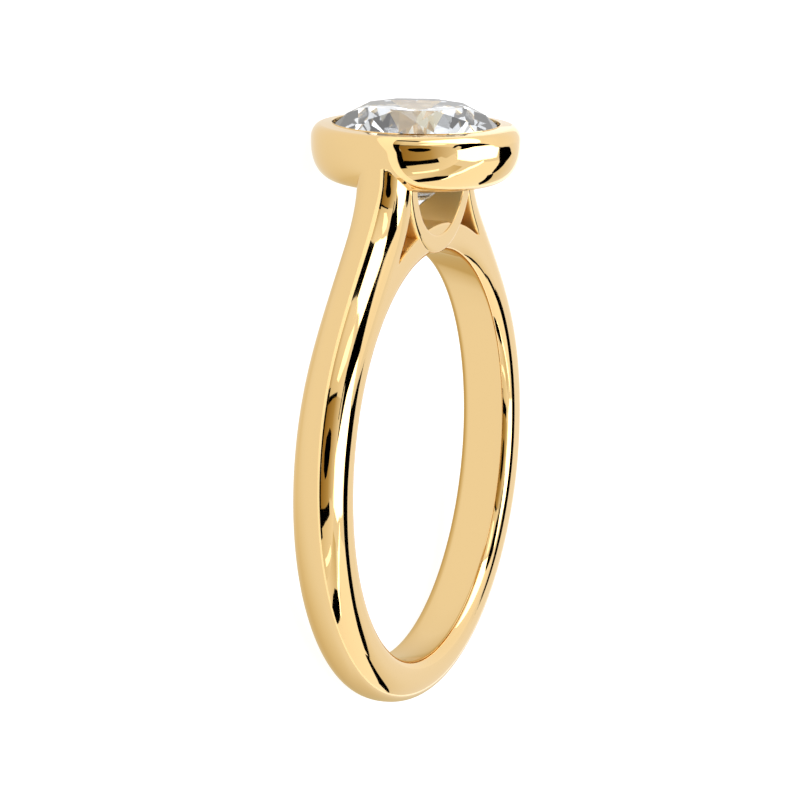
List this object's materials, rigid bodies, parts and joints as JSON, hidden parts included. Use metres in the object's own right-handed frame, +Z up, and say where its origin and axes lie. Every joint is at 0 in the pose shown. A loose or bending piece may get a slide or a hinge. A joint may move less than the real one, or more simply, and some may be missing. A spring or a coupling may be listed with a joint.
{
  "type": "bezel set ring",
  "caption": "Solitaire ring lying on its side: a round brilliant stone in a smooth bezel cup, on a domed shank whose shoulders rise past a round open gallery.",
  "frame": {"origin": "middle of the bounding box's base, on the surface that the ring lies on", "axes": "+Z up, +Y from the finger hole towards the stone, +X across the ring; the finger hole's axis leans 8.2 degrees from +Z towards -Y"},
  "size_m": [0.0208, 0.0242, 0.0083],
  "materials": {
    "gold": "mirror polished 18 carat yellow gold",
    "diamond": "polished facets, colourless"
  },
  "bodies": {
    "root": {"ring_mount": "gold", "stone": "diamond"}
  },
  "joints": []
}
